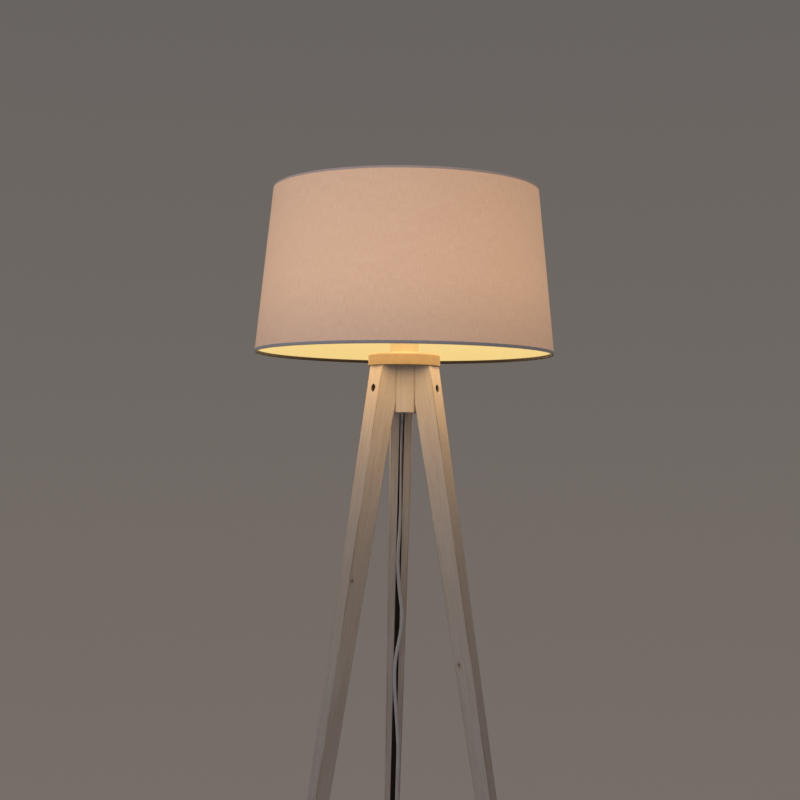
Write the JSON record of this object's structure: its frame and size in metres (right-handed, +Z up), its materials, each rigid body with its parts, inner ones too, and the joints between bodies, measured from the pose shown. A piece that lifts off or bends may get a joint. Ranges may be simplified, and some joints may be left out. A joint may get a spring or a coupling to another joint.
{
  "type": "tripod floor lamp",
  "caption": "Floor lamp with three tapered wooden legs bolted to a hexagonal block, a round top disc and a tapered cloth drum shade, with a corded foot switch and plug.",
  "frame": {"origin": "on the floor under the lamp's axis", "axes": "+Z up along the lamp's axis, +Y towards the rear leg, which carries the cord"},
  "size_m": [0.45, 0.4535, 1.37],
  "materials": {
    "whitewashed_wood": "whitewashed, open grain, worn edges",
    "zinc_steel": "zinc plated",
    "brass": "bright",
    "pad_plastic": "matt",
    "white_plastic": "moulded, matt",
    "porcelain": "glazed",
    "shell_metal": "bright",
    "dark_glass": "glossy",
    "bulb_plastic": "satin",
    "opal_glass": "opal, lit",
    "board": "matt",
    "shade_cloth": "linen weave, pale",
    "liner_plastic": "matt",
    "white_metal": "satin white",
    "cord_sheath": "soft, flat twin",
    "wire_sheath": "soft",
    "tie_plastic": "matt",
    "switch_plastic": "moulded, satin",
    "button_plastic": "moulded, satin"
  },
  "bodies": {
    "stand": {"centre_contact": "brass", "cord_coil": "cord_sheath", "cord_grip": "white_plastic", "cord_tie": "tie_plastic", "core_wires": "wire_sheath", "disc_screws": "zinc_steel", "foot_pads": "pad_plastic", "head_block": "whitewashed_wood", "holder_base": "white_plastic", "holder_body": "white_plastic", "holder_core": "porcelain", "inner_cord": "cord_sheath", "leg_bolts": "zinc_steel", "leg_left": "whitewashed_wood", "leg_rear": "whitewashed_wood", "leg_right": "whitewashed_wood", "mains_cord": "cord_sheath", "pin_sleeves": "tie_plastic", "plug_body": "switch_plastic", "plug_lead": "cord_sheath", "plug_pins": "brass", "plug_relief": "switch_plastic", "plug_tail": "cord_sheath", "screw_shell": "shell_metal", "support_ring": "white_plastic", "switch_base": "switch_plastic", "switch_cover": "switch_plastic", "switch_mechanism": "board", "switch_reliefs": "switch_plastic", "switch_screws": "zinc_steel", "switch_spring": "zinc_steel", "switch_wires": "wire_sheath", "terminal_screws": "brass", "threaded_inserts": "brass", "threaded_tube": "zinc_steel", "top_disc": "whitewashed_wood", "tube_nut": "zinc_steel", "tube_washer": "zinc_steel"},
    "shade": {"shade_fabric": "shade_cloth", "shade_liner": "liner_plastic", "top_wire_ring": "white_metal", "bottom_wire_ring": "white_metal", "top_rim_binding": "shade_cloth", "bottom_rim_binding": "shade_cloth", "shade_spokes": "white_metal", "fitter_ring": "white_metal"},
    "shade_ring": {"shade_ring": "white_plastic"},
    "bulb": {"bulb_contact": "brass", "bulb_insulator": "dark_glass", "bulb_cap": "shell_metal", "bulb_neck": "bulb_plastic", "bulb_globe": "opal_glass", "led_board": "board"},
    "switch_button": {"switch_button": "button_plastic"}
  },
  "joints": [
    {"name": "shade_turn", "type": "hinge", "parent": "stand", "child": "shade", "pos_m": [0, 0, 1.16], "axis": [0, 0, 1], "continuous": true},
    {"name": "shade_ring_turn", "type": "hinge", "parent": "stand", "child": "shade_ring", "pos_m": [0, 0, 1.165], "axis": [0, 0, 1], "range_deg": [0, 1080]},
    {"name": "bulb_turn", "type": "hinge", "parent": "stand", "child": "bulb", "pos_m": [0, 0, 1.17], "axis": [0, 0, 1], "range_deg": [0, 1080]},
    {"name": "switch_press", "type": "slide", "parent": "stand", "child": "switch_button", "axis": [0, 0, -1], "range_m": [0, 0.0025], "stiffness_N_per_m": 400, "springref_m": -0.004, "deforming": ["switch_spring"]}
  ]
}
